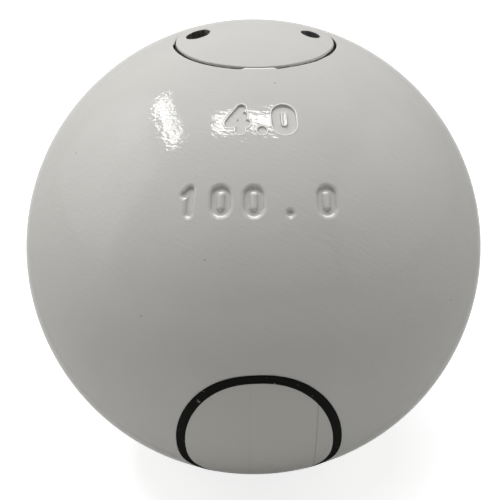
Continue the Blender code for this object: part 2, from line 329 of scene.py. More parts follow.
def print_material(name, colour, gloss, specks, fold_shades=()):
    """Printed film: pale specks where specks is above zero, and painted fold shades, each a place
    and a depth.
    """
    material, nodes, links, shader = node_material(name)
    place = object_place(nodes)
    rubbed = noise(nodes, links, place, 700, 3, 0.6)
    worn = tuple(channel + (WORN_SHADE - channel) * specks for channel in colour)
    stops = ((0.30, colour), (0.66, colour), (0.74, worn))
    shade = ramp(nodes, links, rubbed, stops)
    for fold_place, depth in fold_shades:
        shade = painted_fold_shade(nodes, links, shade, place, fold_place, depth)
    links.new(shade, shader.inputs["Base Color"])
    shader.inputs["Roughness"].default_value = 0.25
    even_gloss(nodes, links, shader, gloss)
    wavy = noise(nodes, links, place, 120, 2, 0.5)
    links.new(bump(nodes, links, wavy, 0.00008), shader.inputs["Normal"])
    return material


def patchy_material(name, colour, roughness, scale, fine_scale, grain, shades):
    """Patches between two shades of a colour, under a fine grain."""
    material, nodes, links, shader = node_material(name)
    place = object_place(nodes)
    patches = noise(nodes, links, place, scale, 4, 0.6)
    low, high = (tuple(channel * shade for channel in colour) for shade in shades)
    shade = ramp(nodes, links, patches, ((0.3, low), (0.7, high)))
    links.new(shade, shader.inputs["Base Color"])
    shader.inputs["Roughness"].default_value = roughness
    fine = noise(nodes, links, place, fine_scale, 3, 0.6)
    links.new(bump(nodes, links, fine, grain), shader.inputs["Normal"])
    return material, shader


def metal_material(name, colour, roughness, scale, grain):
    """Patchy bare metal. scale is of its patches, and grain is how deep its fine grain is."""
    shades = (0.6, 1.35)
    material, shader = patchy_material(name, colour, roughness, scale, scale * 6, grain, shades)
    shader.inputs["Metallic"].default_value = 0.9
    return material


def plain_material(name, colour, roughness, scale, grain, spread=0.2):
    """The same without a metal's shine, with shades that lie spread to each side of the colour."""
    shades = (1 - spread, 1 + spread)
    return patchy_material(name, colour, roughness, scale, scale * 5, grain, shades)[0]


def on_ball(latitude, longitude, radius):
    """Points on the ball, from arrays of degrees. Longitude 0 faces -Y and grows towards +X."""
    lat = np.radians(latitude)
    lon = np.radians(longitude)
    flat = radius * np.cos(lat)
    return np.stack([flat * np.sin(lon), -flat * np.cos(lon), radius * np.sin(lat)], axis=-1)


def tangent_frame(latitude, longitude):
    """The directions outward, east and north at a place on the ball."""
    lat = math.radians(latitude)
    lon = math.radians(longitude)
    flat = math.cos(lat)
    outward = np.array([flat * math.sin(lon), -flat * math.cos(lon), math.sin(lat)])
    east = np.array([math.cos(lon), math.sin(lon), 0.0])
    return outward, east, np.cross(outward, east)


def flattened(points, latitude, longitude, tilt):
    """Each point's distance east and north of a place on the ball, measured along the surface."""
    outward, east, north = tangent_frame(latitude, longitude)
    unit = points / np.linalg.norm(points, axis=-1, keepdims=True)
    arc = np.arccos(np.clip(unit @ outward, -1, 1)) * BALL_RADIUS
    x = unit @ east
    y = unit @ north
    size = np.maximum(np.hypot(x, y), NO_LENGTH)
    x, y = x / size * arc, y / size * arc
    turn = math.radians(tilt)
    return x * math.cos(turn) + y * math.sin(turn), y * math.cos(turn) - x * math.sin(turn)


def wrapped(x, y, latitude, longitude, tilt, radius):
    """The reverse: points on the ball from distances east and north of a place on it."""
    outward, east, north = tangent_frame(latitude, longitude)
    turn = math.radians(tilt)
    across = x * math.cos(turn) - y * math.sin(turn)
    along = y * math.cos(turn) + x * math.sin(turn)
    away = np.hypot(across, along)
    arc = away / BALL_RADIUS
    size = np.maximum(away, NO_LENGTH)
    heading = (across / size)[..., None] * east + (along / size)[..., None] * north
    unit = np.cos(arc)[..., None] * outward + np.sin(arc)[..., None] * heading
    return unit * radius


def from_line(x, y, start, end):
    """How far each point lies from a straight line between two places."""
    dx, dy = end[0] - start[0], end[1] - start[1]
    share = np.clip(((x - start[0]) * dx + (y - start[1]) * dy) / (dx * dx + dy * dy), 0, 1)
    return np.hypot(x - start[0] - share * dx, y - start[1] - share * dy)


def from_loop(x, y, half_width, half_height):
    """How far each point lies from an upright loop with round ends."""
    above = np.maximum(np.abs(y) - (half_height - half_width), 0)
    return np.abs(np.hypot(x, above) - half_width)


# Straight pen lines, in shares of a character's half width and half height
PEN_LINES = {
    "1": (((-0.75, 0.50), (0.05, 0.97)), ((0.12, 1.0), (0.05, -1.0))),
    "4": (
        ((0.38, -1.0), (0.62, 0.35)),
        ((0.42, 1.0), (-1.05, -0.30)),
        ((-1.05, -0.40), (1.08, -0.36)),
    ),
}


def from_strokes(x, y, character, wide, tall):
    """How far each point lies from a character's pen line."""
    if character == "0":
        return from_loop(x, y, wide, tall)
    if character == ".":
        return np.hypot(x, y + tall)
    gaps = []
    for start, end in PEN_LINES[character]:
        start = (start[0] * wide, start[1] * tall)
        end = (end[0] * wide, end[1] * tall)
        gaps.append(from_line(x, y, start, end))
    return np.min(gaps, axis=0)


def stamp_relief(points):
    """How far the punched numbers raise or sink the ball's surface at each point."""
    relief = np.zeros(points.shape[:-1])
    dent = np.zeros(points.shape[:-1])
    for look, wide, tall, characters in STAMP_ROWS:
        for latitude, longitude, lean, character in characters:
            x, y = flattened(points, latitude, longitude, lean)
            gap = from_strokes(x, y, character, wide, tall)
            share = gap / look["reach"]
            depth = look["depth"] + look["slope"] * MM * y / tall
            bottom = depth * (1 - look["bowl"] * np.clip(share, 0, 1) ** 2)
            inside = 1 - smooth((share - 1 + look["wall"]) / look["wall"])
            lip = look["lip"] * np.exp(-(((gap - look["reach"] - LIP_PLACE) / LIP_WIDTH) ** 2))
            shoulder = look["shoulder"] * np.clip((look["reach"] - gap) / SHOULDER_REACH + 1, 0, 1)
            here = lip - shoulder - (bottom - look["shoulder"]) * inside
            relief = np.where(np.abs(here) > np.abs(relief), here, relief)
            dent = np.minimum(dent, -DENT_DEPTH * np.exp(-((gap / DENT_WIDTH) ** 2)))
    return relief + dent


def surface(latitude, longitude):
    """Points on the ball's stamped surface."""
    points = on_ball(latitude, longitude, BALL_RADIUS)
    return points * (1 + stamp_relief(points) / BALL_RADIUS)[..., None]


def surface_normals(latitude, longitude, reach=0.02):
    """The stamped surface's normals, from points a little way off on each side."""
    across = surface(latitude, longitude + reach) - surface(latitude, longitude - reach)
    along = surface(latitude + reach, longitude) - surface(latitude - reach, longitude)
    normals = np.cross(across, along)
    return normals / np.linalg.norm(normals, axis=-1, keepdims=True)


# Angles closer than this, in degrees, are one
SAME_ANGLE = 1e-6


def strip_faces(low, high):
    """Faces between two rings, each given as its first index and the angles of its points."""
    low_start, low_angles = low
    high_start, high_angles = high
    low_count, high_count = len(low_angles), len(high_angles)
    if low_count == 1:
        edges = [((j + 1) % high_count, j) for j in range(high_count)]
        return [[low_start, high_start + after, high_start + j] for after, j in edges]
    if high_count == 1:
        edges = [(i, (i + 1) % low_count) for i in range(low_count)]
        return [[low_start + i, low_start + after, high_start] for i, after in edges]
    low_next = list(low_angles[1:]) + [low_angles[0] + 360]
    high_next = list(high_angles[1:]) + [high_angles[0] + 360]
    faces = []
    i = j = 0
    while i < low_count or j < high_count:
        low_to = low_next[i] if i < low_count else math.inf
        high_to = high_next[j] if j < high_count else math.inf
        a, b = low_start + i % low_count, high_start + j % high_count
        c, d = low_start + (i + 1) % low_count, high_start + (j + 1) % high_count
        if abs(low_to - high_to) < SAME_ANGLE:
            faces.append([a, c, d, b])
            i, j = i + 1, j + 1
        elif low_to < high_to:
            faces.append([a, c, b])
            i += 1
        else:
            faces.append([a, d, b])
            j += 1
    return faces


class Skin:
    """A closed mesh that grows ring by ring. Each ring has its own angles, from -180 degrees on."""

    def __init__(self):
        self.points = []
        self.normals = []
        self.faces = []
        self.slots = []
        self.last = None
        self.count = 0

    def add(self, angles, points, slot, normals=None):
        """Adds a ring. The slot is the material of the strip between it and the ring before."""
        points = np.asarray(points, dtype=float).reshape(-1, 3)
        ring_here = (self.count, list(angles))
        if self.last is not None:
            faces = strip_faces(self.last, ring_here)
            self.faces += faces
            self.slots += [slot] * len(faces)
        self.points.append(points)
        self.normals.append(np.zeros_like(points) if normals is None else normals)
        self.count += len(points)
        self.last = ring_here

    def pole(self, z, slot):
        self.add([0.0], pole(z), slot)

    def build(self, name, materials, set_normals=False):
        mesh = bpy.data.meshes.new(name)
        faces = [[int(corner) for corner in face] for face in self.faces]
        mesh.from_pydata(np.concatenate(self.points).tolist(), [], faces)
        for material in materials:
            mesh.materials.append(material)
        mesh.polygons.foreach_set("material_index", self.slots)
        mesh.polygons.foreach_set("use_smooth", [True] * len(self.slots))
        mesh.update()
        if set_normals:
            mesh.normals_split_custom_set_from_vertices(np.concatenate(self.normals).tolist())
        piece = bpy.data.objects.new(name, mesh)
        bpy.context.collection.objects.link(piece)
        return piece


def grid_piece(name, rows, slots, materials):
    """A mesh through rings of points that share their angles. A row of one point is a pole."""
    skin = Skin()
    for index, row in enumerate(rows):
        count = len(row)
        angles = np.arange(count) * 360 / count
        skin.add(angles, row, slots[max(index - 1, 0)])
    return skin.build(name, materials)


def ring(radius, z, longitudes):
    """Points round the axis. The radius and height can be arrays, with a value at each angle."""
    lon = np.radians(longitudes)
    radius = np.broadcast_to(radius, lon.shape)
    height = np.broadcast_to(z, lon.shape)
    return np.stack([radius * np.sin(lon), -radius * np.cos(lon), height], axis=-1)


def pole(z):
    return np.array([[0.0, 0.0, z]])


def ripple(longitudes, seed, *waves):
    """A sum of sines round the axis: each wave is (cycles, size)."""
    rng = np.random.default_rng(seed)
    lon = np.radians(longitudes)
    total = np.zeros_like(lon)
    for cycles, size in waves:
        total += size * np.sin(cycles * lon + rng.uniform(0, 2 * math.pi))
    return total


def bell(longitudes, middle, half_width, edge):
    """1 round a middle longitude, falling to 0 over an edge on each side."""
    away = np.abs((longitudes - middle + 180) % 360 - 180)
    return smooth((half_width + edge - away) / (2 * edge))


def by_longitude(longitudes, table):
    """A value at each longitude, between the (degrees, value) pairs of a table."""
    places, values = zip(*table)
    return np.interp(longitudes, places, values)


def thread_rise(longitudes, z, grow):
    """How far the thread stands above its root. grow makes the groove that it runs in wider."""
    half_crest = HALF_CREST + grow * (math.sqrt(1 + FLANK**2) - FLANK)
    height = THREAD_RADIUS - THREAD_ROOT_RADIUS
    flank = height * FLANK
    turn = (longitudes - 90) / 360
    offset = ((z - SEAT_Z) / THREAD_PITCH - turn + 0.5) % 1 - 0.5
    return height * np.clip((half_crest + flank - np.abs(offset) * THREAD_PITCH) / flank, 0, 1)


# The crevice between the plug's head and the paint of the rim, in mm at each longitude: open on
# the left, the front and the right, narrower at the front's middle and nearly shut at the back
CREVICE = (
    (-180, 0.09), (-104, 0.09), (-89, 0.09), (-86, 0.40), (-80, 0.46), (-63, 0.48),
    (-56, 0.50), (-10.7, 0.52), (-6.7, 0.31), (13, 0.31), (16, 0.50), (23, 0.34),
    (30, 0.32), (48, 0.30), (60, 0.28), (65, 0.32), (76, 0.38), (88, 0.42),
    (100, 0.36), (118, 0.20), (135, 0.09), (180, 0.09),
)
NARROWEST_CREVICE = 0.06 * MM

# How much further out than elsewhere the rim's paint starts to round off, in mm at each longitude
RIM_WEAR = (
    (-180, 0.0), (-70, 0.0), (-56, 0.14), (-40, 0.22), (-10.7, 0.22), (-6.7, 0.10),
    (13, 0.10), (16, 0.22), (22, 0.05), (30, 0.0), (180, 0.0),
)

# The rolled edge of paint: how round it is, how much of that it drops by, and how far below its
# lip the paint and then the bare wall start
RIM_ROUND = 0.25 * MM
RIM_DROP = RIM_ROUND * 0.9
PAINT_BELOW_LIP = 0.12 * MM
WALL_BELOW_LIP = 0.35 * MM

# Where paint runs on level across the rolled edge, in degrees, how wide its ends are, how much it
# swells, and how much higher its foot is than elsewhere
BRIDGE = (-9.2, 15.5)
BRIDGE_END = 3
BRIDGE_SWELL = 0.03 * MM
BRIDGE_RISE = 0.2 * MM

# Where the rim is rough and where its paint is chipped: middle, half width and soft end in degrees
ROUGH_SIDE = (40, 27, 4)
CHIPPED_SIDE = (42, 24, 4)
CHIP_SIZE = 0.09 * MM

# Material slots. The plug has the first three, and the holes' own after them
# The bare metal slot is near-black, partly painted shade, and the last slot is a painted highlight
PAINT, BARE_METAL_AND_SHADE, THREAD, POOLED, PAINTED_HIGHLIGHT = range(5)

# Latitudes between which the ball's surface is stamped at all, and those of its two rows
STAMPED = (28, 61)
LOW_ROW = (28.5, 40.0)
HIGH_ROW = (48.5, 60.0)

# A high-row face is a mark's bottom when it lies this far in, and an edge with a painted highlight
# when it stands this far out. A low-row face gets a painted highlight when it looks up by this
# share
POOLED_DEPTH = 0.22 * MM
PROUD_HEIGHT = 0.035 * MM
PAINTED_GLINT_SLOPE = 0.62

# Painted highlights stay only on faces at least this far in front of the plug's axis
HIGHLIGHT_FRONT = 8 * MM

# Degrees between the points of a ring
COARSE_STEP = 3.0
RIM_STEP = 0.75
THREAD_STEP = 2.5


def columns(first=None, last=None, step=None):
    """Ring angles: every 3 degrees, and closer between two of them."""
    coarse = np.arange(-180, 180, COARSE_STEP)
    if first is None:
        return coarse
    fine = np.linspace(first, last, int(round((last - first) / step)) + 1)
    before = coarse[coarse < first - SAME_ANGLE]
    after = coarse[coarse > last + SAME_ANGLE]
    return np.concatenate([before, fine, after])


def add_rim(skin, rim):
    """The rolled edge of paint round the port. Gives the height of its inner lip at each angle."""
    outer = PORT_RADIUS + RIM_ROUND + by_longitude(rim, RIM_WEAR) * MM
    edge_z = np.sqrt(BALL_RADIUS**2 - outer**2)
    edge = ring(outer, edge_z, rim)
    skin.add(rim, edge, PAINT, edge / BALL_RADIUS)
    inner = HEAD_RADIUS + by_longitude(rim, CREVICE) * MM
    rough = 0.15 + bell(rim, *ROUGH_SIDE)
    inner += ripple(rim, 3, (37, 0.020 * MM), (61, 0.020 * MM), (97, 0.012 * MM)) * rough
    chips = np.maximum(ripple(rim, 8, (23, 1.0), (41, 0.8), (67, 0.6)) - 0.3, 0)
    chips = chips * CHIP_SIZE * bell(rim, *CHIPPED_SIDE)
    inner = np.maximum(inner + chips, HEAD_RADIUS + NARROWEST_CREVICE)
    bridge = smooth((rim - BRIDGE[0]) / BRIDGE_END) * smooth((BRIDGE[1] - rim) / BRIDGE_END)
    # The middle of the rolled edge gets paler enamel: a painted highlight
    for degrees, slot in ((20, PAINT), (45, PAINTED_HIGHLIGHT), (70, PAINTED_HIGHLIGHT), (90, PAINT)):
        turn = math.radians(degrees)
        radius = outer + (inner - outer) * math.sin(turn)
        rounded = edge_z - (RIM_DROP + chips * 0.5) * (1 - math.cos(turn))
        level = np.sqrt(BALL_RADIUS**2 - radius**2) + BRIDGE_SWELL * math.sin(2 * turn)
        skin.add(rim, ring(radius, rounded + (level - rounded) * bridge, rim), slot)
    lip_z = edge_z - RIM_DROP
    foot = lip_z - PAINT_BELOW_LIP + BRIDGE_RISE * bridge
    skin.add(rim, ring(inner + 0.02 * MM, foot, rim), PAINT)
    # Below the paint the port wall is near-black: bare iron, and painted shade of the crevice
    wall = np.maximum(PORT_RADIUS, inner)
    skin.add(rim, ring(wall, lip_z - WALL_BELOW_LIP, rim), BARE_METAL_AND_SHADE)
    return lip_z


def add_bore(skin, coarse, lip_z):
    """The port's bare wall, the seat, the threaded bore and the cavity under it."""
    skin.add(coarse, ring(PORT_RADIUS, lip_z.min() - 1.2 * MM, coarse), BARE_METAL_AND_SHADE)
    skin.add(coarse, ring(PORT_RADIUS, SEAT_Z, coarse), BARE_METAL_AND_SHADE)
    fine = np.arange(-180, 180, THREAD_STEP)
    skin.add(fine, ring(BORE_RADIUS + thread_rise(fine, SEAT_Z, FIT), SEAT_Z, fine), THREAD)
    bottom = PLUG_END_Z - THREAD_PITCH / 2
    for z in np.arange(SEAT_Z - 0.15 * MM, CAVITY_TOP_Z, -0.2 * MM):
        fade = smooth((z - bottom + THREAD_PITCH * 0.6) / (THREAD_PITCH * 0.5))
        skin.add(fine, ring(BORE_RADIUS + thread_rise(fine, z, FIT) * fade, z, fine), THREAD)
    skin.add(coarse, ring(BORE_RADIUS, CAVITY_TOP_Z, coarse), THREAD)
    corner = 6 * MM
    skin.add(coarse, ring(CAVITY_RADIUS, CAVITY_TOP_Z - 9 * MM, coarse), BARE_METAL_AND_SHADE)
    skin.add(coarse, ring(CAVITY_RADIUS, CAVITY_FLOOR_Z + corner, coarse), BARE_METAL_AND_SHADE)
    skin.add(coarse, ring(CAVITY_RADIUS - corner, CAVITY_FLOOR_Z, coarse), BARE_METAL_AND_SHADE)
    skin.pole(CAVITY_FLOOR_Z, BARE_METAL_AND_SHADE)


def in_row(heights, row):
    """Which heights lie between a row's two latitudes."""
    low, high = (BALL_RADIUS * math.sin(math.radians(latitude)) for latitude in row)
    return (heights > low) & (heights < high)


def shade_stamps(ball):
    """Matte enamel on the stamps' bottoms, and painted highlights on their raised edges and upward
    walls.
    """
    faces = ball.data.polygons
    centres = np.empty(len(faces) * 3)
    faces.foreach_get("center", centres)
    centres = centres.reshape(-1, 3)
    facing = np.empty(len(faces) * 3)
    faces.foreach_get("normal", facing)
    facing = facing.reshape(-1, 3)
    slots = np.empty(len(faces), dtype=np.int32)
    faces.foreach_get("material_index", slots)
    reach = np.linalg.norm(centres, axis=1)
    top_row = in_row(centres[:, 2], HIGH_ROW) & (slots == PAINT)
    slots[top_row & (reach < BALL_RADIUS - POOLED_DEPTH)] = POOLED
    # Raised edges of the high row: a painted highlight
    slots[top_row & (reach > BALL_RADIUS + PROUD_HEIGHT)] = PAINTED_HIGHLIGHT
    slots[(slots == PAINTED_HIGHLIGHT) & (centres[:, 1] > -HIGHLIGHT_FRONT)] = PAINT
    outward = centres / reach[:, None]
    north = np.array([0.0, 0.0, 1.0]) - outward * outward[:, 2:]
    north /= np.maximum(np.linalg.norm(north, axis=1)[:, None], NO_LENGTH)
    upward = (facing * north).sum(axis=1)
    low_row = in_row(centres[:, 2], LOW_ROW) & (slots == PAINT)
    # Walls of the low row that look up: a painted highlight
    slots[low_row & (upward > PAINTED_GLINT_SLOPE)] = PAINTED_HIGHLIGHT
    faces.foreach_set("material_index", slots)


def make_ball(enamel, iron_and_shade, threaded, pooled, highlight_enamel):
    """The painted ball in one skin: outside, rim, port wall, seat, threaded bore and cavity."""
    skin = Skin()
    skin.pole(-BALL_RADIUS, PAINT)
    coarse = columns()
    low = columns(-24, 27, 0.18)
    high = columns(-15, 18, 0.16)
    rim_latitude = math.degrees(math.acos((PORT_RADIUS + RIM_ROUND) / BALL_RADIUS))
    # Latitudes and the ring angles at them, both finest round the two rows of stamps
    bands = (
        (np.arange(-88, 28.1, 2.0), coarse),
        (np.arange(28.6, 40.0, 0.14), low),
        (np.arange(41.0, 48.1, 1.4), coarse),
        (np.arange(48.6, 60.0, 0.105), high),
        (np.linspace(61.0, rim_latitude - 0.5, 7), coarse),
    )
    for latitudes, longitudes in bands:
        for latitude in latitudes:
            lat = np.full_like(longitudes, latitude)
            if STAMPED[0] < latitude < STAMPED[1]:
                points = surface(lat, longitudes)
                normals = surface_normals(lat, longitudes)
            else:
                points = on_ball(lat, longitudes, BALL_RADIUS)
                normals = points / BALL_RADIUS
            skin.add(longitudes, points, PAINT, normals)
    lip_z = add_rim(skin, np.arange(-180, 180, RIM_STEP))
    add_bore(skin, coarse, lip_z)
    materials = [enamel, iron_and_shade, threaded, pooled, highlight_enamel]
    ball = skin.build("painted_ball", materials, set_normals=True)
    shade_stamps(ball)
    return ball


# Spanner holes in mm: middle, half width and half depth, how rough the rim is, and the seed of its
# roughness. Paint has narrowed the right one
HOLES = (
    ("right_hole", (11.67, 1.15), (2.04, 2.30), 0.04, 4),
    ("left_hole", (-11.87, 0.75), (2.55, 3.00), 0.09, 9),
)
HOLE_FLOOR_DEPTH = 6.65 * MM
HOLE_CONE = 1.3 * MM

# Heights on a hole's wall, and how much of the roughness it has there
HOLE_WALL = ((44.5 * MM, 0.2), (47.4 * MM, 0.6), (BALL_RADIUS + 0.5 * MM, 1.0))

# How wide the bevel round the plug's top edge is, in mm at each longitude
BEVEL = (
    (-180, 0.22), (-88, 0.22), (-70, 0.22), (-56, 0.20), (-44, 0.07), (-16, 0.10),
    (-8, 0.04), (6, 0.04), (14, 0.12), (20, 0.14), (36, 0.30), (50, 0.34),
    (60, 0.42), (75, 0.34), (88, 0.26), (180, 0.22),
)

# The height in mm below which the head's wall was left bare, at each longitude
# The bare wall is near-black, partly painted shade, so this also places the crevice's dark line
BARE = (
    (-180, 46.50), (-92, 46.50), (-86, 46.92), (-62, 46.84), (-56, 46.68), (-12.7, 46.64),
    (-6.7, 46.50), (13, 46.50), (17, 46.66), (23, 46.74), (60, 46.76), (66, 46.94),
    (104, 46.92), (120, 46.60), (180, 46.50),
)


def hole_cutter(name, middle, reach, rough, seed, steel_and_shade):
    """The space of one spanner hole: a drilled pit with a cone-shaped floor and a rough rim."""
    lon = np.arange(0, 360, 5.0)
    turn = np.radians(lon)
    centre = (middle[0] * MM, middle[1] * MM)
    floor = plug_box[1][2] - HOLE_FLOOR_DEPTH
    waves = ((3, rough), (7, rough * 0.8), (13, rough * 0.7), (22, rough * 0.6))
    wobble = ripple(lon, seed, *waves) * MM
    wobble *= 0.5 + 0.8 * smooth(0.5 - 0.5 * np.cos(turn))

    def outline(z, share, narrower=0.0):
        x = centre[0] + ((reach[0] - narrower) * MM + wobble * share) * np.sin(turn)
        y = centre[1] - ((reach[1] - narrower) * MM + wobble * share) * np.cos(turn)
        return np.stack([x, y, np.full_like(x, z)], axis=-1)

    rows = [np.array([[*centre, floor]]), outline(floor + HOLE_CONE, 0.0, 0.15)]
    for z, share in HOLE_WALL:
        rows.append(outline(z, share))
    rows.append(np.array([[*centre, HOLE_WALL[-1][0]]]))
    return grid_piece(name, rows, [0] * (len(rows) - 1), [steel_and_shade])


def make_plug(enamel, steel_and_shade, threaded):
    """The plug in one skin: threaded shank, neck, shoulder, head wall, bevel and dome."""
    lon = np.arange(0, 360, 1.5)
    chamfer = 0.8 * MM
    edge_round = 0.2 * MM
    run_out = 0.35 * THREAD_PITCH
    skin = Skin()
    skin.pole(PLUG_END_Z, BARE_METAL_AND_SHADE)
    skin.add(lon, ring(THREAD_ROOT_RADIUS - chamfer, PLUG_END_Z, lon), BARE_METAL_AND_SHADE)
    neck_end = SEAT_Z - FIT
    start = PLUG_END_Z + chamfer
    stop = neck_end - (THREAD_ROOT_RADIUS - NECK_RADIUS)
    for z in np.linspace(start, stop, 56):
        into = smooth((z - start) / run_out) * smooth((stop - z) / run_out)
        skin.add(lon, ring(THREAD_ROOT_RADIUS + thread_rise(lon, z, 0) * into, z, lon), THREAD)
    skin.add(lon, ring(NECK_RADIUS, neck_end, lon), THREAD)
    skin.add(lon, ring(NECK_RADIUS, SHOULDER_Z, lon), BARE_METAL_AND_SHADE)
    skin.add(lon, ring(HEAD_RADIUS - edge_round, SHOULDER_Z, lon), BARE_METAL_AND_SHADE)
    skin.add(lon, ring(HEAD_RADIUS, SHOULDER_Z + edge_round, lon), BARE_METAL_AND_SHADE)
    around = (lon + 180) % 360 - 180
    bevel = by_longitude(around, BEVEL) * MM
    bevel += ripple(lon, 5, (31, 0.012 * MM), (53, 0.012 * MM), (84, 0.008 * MM))
    edge = HEAD_RADIUS - bevel
    edge_z = np.sqrt(BALL_RADIUS**2 - edge**2)
    # Below bare the head's wall is near-black: bare steel, and painted shade of the crevice
    bare = by_longitude(around, BARE) * MM
    bare += ripple(lon, 9, (23, 0.02 * MM), (47, 0.02 * MM), (71, 0.015 * MM))
    painted = edge_z - bare
    skin.add(lon, ring(HEAD_RADIUS, SHOULDER_Z + 3.2 * MM, lon), BARE_METAL_AND_SHADE)
    skin.add(lon, ring(HEAD_RADIUS, bare - 0.35 * MM, lon), BARE_METAL_AND_SHADE)
    profile = ((0.45, 0.0, BARE_METAL_AND_SHADE), (0.28, 0.40, PAINT), (0.12, 0.75, PAINT), (0.03, 0.95, PAINT))
    for out, rise, slot in profile:
        skin.add(lon, ring(edge + out * bevel, bare + rise * painted, lon), slot)
    inside = edge - 0.12 * MM
    skin.add(lon, ring(inside, np.sqrt(BALL_RADIUS**2 - inside**2), lon), PAINT)
    for share in np.linspace(0.97, 0.03, 32):
        radius = inside * share
        skin.add(lon, ring(radius, np.sqrt(BALL_RADIUS**2 - radius**2), lon), PAINT)
    skin.pole(BALL_RADIUS, PAINT)
    return skin.build("screwed_plug", [enamel, steel_and_shade, threaded])


def cut_holes(plug, steels_and_shades):
    """Cuts the two spanner holes, each with a material of its own."""
    # Each hole's dark colour is bare steel, and painted shade of the pit
    for (name, middle, reach, rough, seed), steel_and_shade in zip(HOLES, steels_and_shades):
        cutter = hole_cutter(name, middle, reach, rough, seed, steel_and_shade)
        cut = plug.modifiers.new(name, "BOOLEAN")
        cut.solver = "EXACT"
        cut.operation = "DIFFERENCE"
        cut.material_mode = "TRANSFER"
        cut.object = cutter
        with bpy.context.temp_override(object=plug, active_object=plug):
            bpy.ops.object.modifier_apply(modifier=name)
        bpy.data.objects.remove(cutter, do_unlink=True)
    plug.data.set_sharp_from_angle(angle=math.radians(40))


def make_ring(rubber):
    """The sealing ring: a flat rubber washer with rounded edges."""
    lon = np.arange(0, 360, 3.0)
    low, high = washer_box[0][2], washer_box[1][2]
    outer = washer_box[1][0]
    inner = NECK_RADIUS + FIT
    edge = 0.3 * MM
    middle = (low + high) / 2
    half = (high - low) / 2
    corners = (
        (outer - edge, low, -90),
        (outer - edge, high, 0),
        (inner + edge, high, 90),
        (inner + edge, low, 180),
    )
    outline = []
    for radius, z, start in corners:
        for degrees in (0, 30, 60, 90):
            angle = math.radians(start + degrees)
            height = middle + math.copysign(half - edge, z - middle) + edge * math.sin(angle)
            outline.append((radius + edge * math.cos(angle), height))
    outline.append(outline[0])
    rows = [ring(radius, z, lon) for radius, z in outline]
    piece = grid_piece("rubber_ring", rows, [0] * (len(rows) - 1), [rubber])
    weld(piece)
    return piece


def weld(piece):
    """Joins points that lie in one place."""
    shape = bmesh.new()
    shape.from_mesh(piece.data)
    bmesh.ops.remove_doubles(shape, verts=shape.verts[:], dist=1e-7)
    bmesh.ops.recalc_face_normals(shape, faces=shape.faces[:])
    shape.to_mesh(piece.data)
    shape.free()


def make_wad(felt):
    """The felt disc, with a crowned, fibrous top and soft edges."""
    lon = np.arange(0, 360, 4.0)
    low, high = wad_box[0][2], wad_box[1][2]
    outer = wad_box[1][0]
    edge = 0.7 * MM
    rows = [pole(low)]
    for radius in (outer * 0.5, outer - edge):
        rows.append(ring(radius, low, lon))
    for degrees in (30, 60, 90):
        angle = math.radians(degrees)
        radius = outer - edge + edge * math.sin(angle)
        rows.append(ring(radius, low + edge * (1 - math.cos(angle)), lon))
    for degrees in (0, 30, 60, 90):
        angle = math.radians(degrees)
        radius = outer - edge + edge * math.cos(angle)
        rows.append(ring(radius, high - edge * (1 - math.sin(angle)), lon))
    for index, radius in enumerate(np.linspace(outer - edge, 0.6 * MM, 22)[1:]):
        lump = ripple(lon, 20 + index, (5, 0.05 * MM), (11, 0.04 * MM), (23, 0.03 * MM))
        rows.append(ring(radius, high - 0.12 * MM + lump, lon))
    rows.append(pole(high - 0.1 * MM))
    return grid_piece("felt_wad", rows, [0] * (len(rows) - 1), [felt])


def make_label(film, ink):
    """The blank oval sticker: film inside, a printed border and a turned-down edge."""
    steps = 160
    angle = np.radians(np.arange(0, 360, 360 / steps))
    across = np.sign(np.cos(angle)) * np.abs(np.cos(angle)) ** (2 / LABEL_FULLNESS)
    along = np.sign(np.sin(angle)) * np.abs(np.sin(angle)) ** (2 / LABEL_FULLNESS)
    lift = 0.10 * MM
    under = 0.02 * MM
    film_slot, ink_slot = 0, 1

    def laid(x, y, height):
        place = (LABEL_LATITUDE, LABEL_LONGITUDE, LABEL_ROLL)
        return wrapped(x, y, *place, BALL_RADIUS + height)

    def row(half_width, half_height, height):
        return laid(half_width * across, half_height * along, height)

    def middle(height):
        return laid(np.zeros(1), np.zeros(1), height)

    rows = [middle(under)]
    slots = []
    for share in (0.25, 0.5, 0.75, 1.0):
        rows.append(row(LABEL_HALF_WIDTH * share, LABEL_HALF_HEIGHT * share, under))
        slots.append(ink_slot)
    rows.append(row(LABEL_HALF_WIDTH, LABEL_HALF_HEIGHT, lift * 0.7))
    slots.append(ink_slot)
    for inset in np.linspace(0.03 * MM, LABEL_BORDER, 5):
        rows.append(row(LABEL_HALF_WIDTH - inset, LABEL_HALF_HEIGHT - inset, lift))
        slots.append(ink_slot)
    for share in np.linspace(0.97, 0.04, 40):
        half_width = (LABEL_HALF_WIDTH - LABEL_BORDER) * share
        rows.append(row(half_width, (LABEL_HALF_HEIGHT - LABEL_BORDER) * share, lift))
        slots.append(film_slot)
    rows.append(middle(lift))
    slots.append(film_slot)
    return grid_piece("blank_sticker", rows, slots, [film, ink])


def lamp(name, place, target, size, power, glossy, turn=0.0, colour=WHITE):
    """A rectangular lamp. Reflections show it only where glossy is true."""
    light = bpy.data.lights.new(name, "AREA")
    light.shape = "RECTANGLE"
    light.size, light.size_y = size
    light.energy = power
    light.color = colour
    thing = bpy.data.objects.new(name, light)
    thing.location = place
    aim = (Vector(target) - Vector(place)).to_track_quat("-Z", "Y").to_matrix()
    thing.rotation_euler = (aim @ Matrix.Rotation(math.radians(turn), 3, "Z")).to_euler()
    thing.visible_camera = False
    thing.visible_glossy = glossy
    bpy.context.collection.objects.link(thing)


def camera_rays(nodes, links):
    """1 for rays that should see a white surround: camera, glossy and transmission rays."""
    path = nodes.new("ShaderNodeLightPath")
    either = arithmetic(
        nodes, links, "MAXIMUM", path.outputs["Is Camera Ray"], path.outputs["Is Glossy Ray"]
    )
    return arithmetic(nodes, links, "MAXIMUM", either, path.outputs["Is Transmission Ray"])


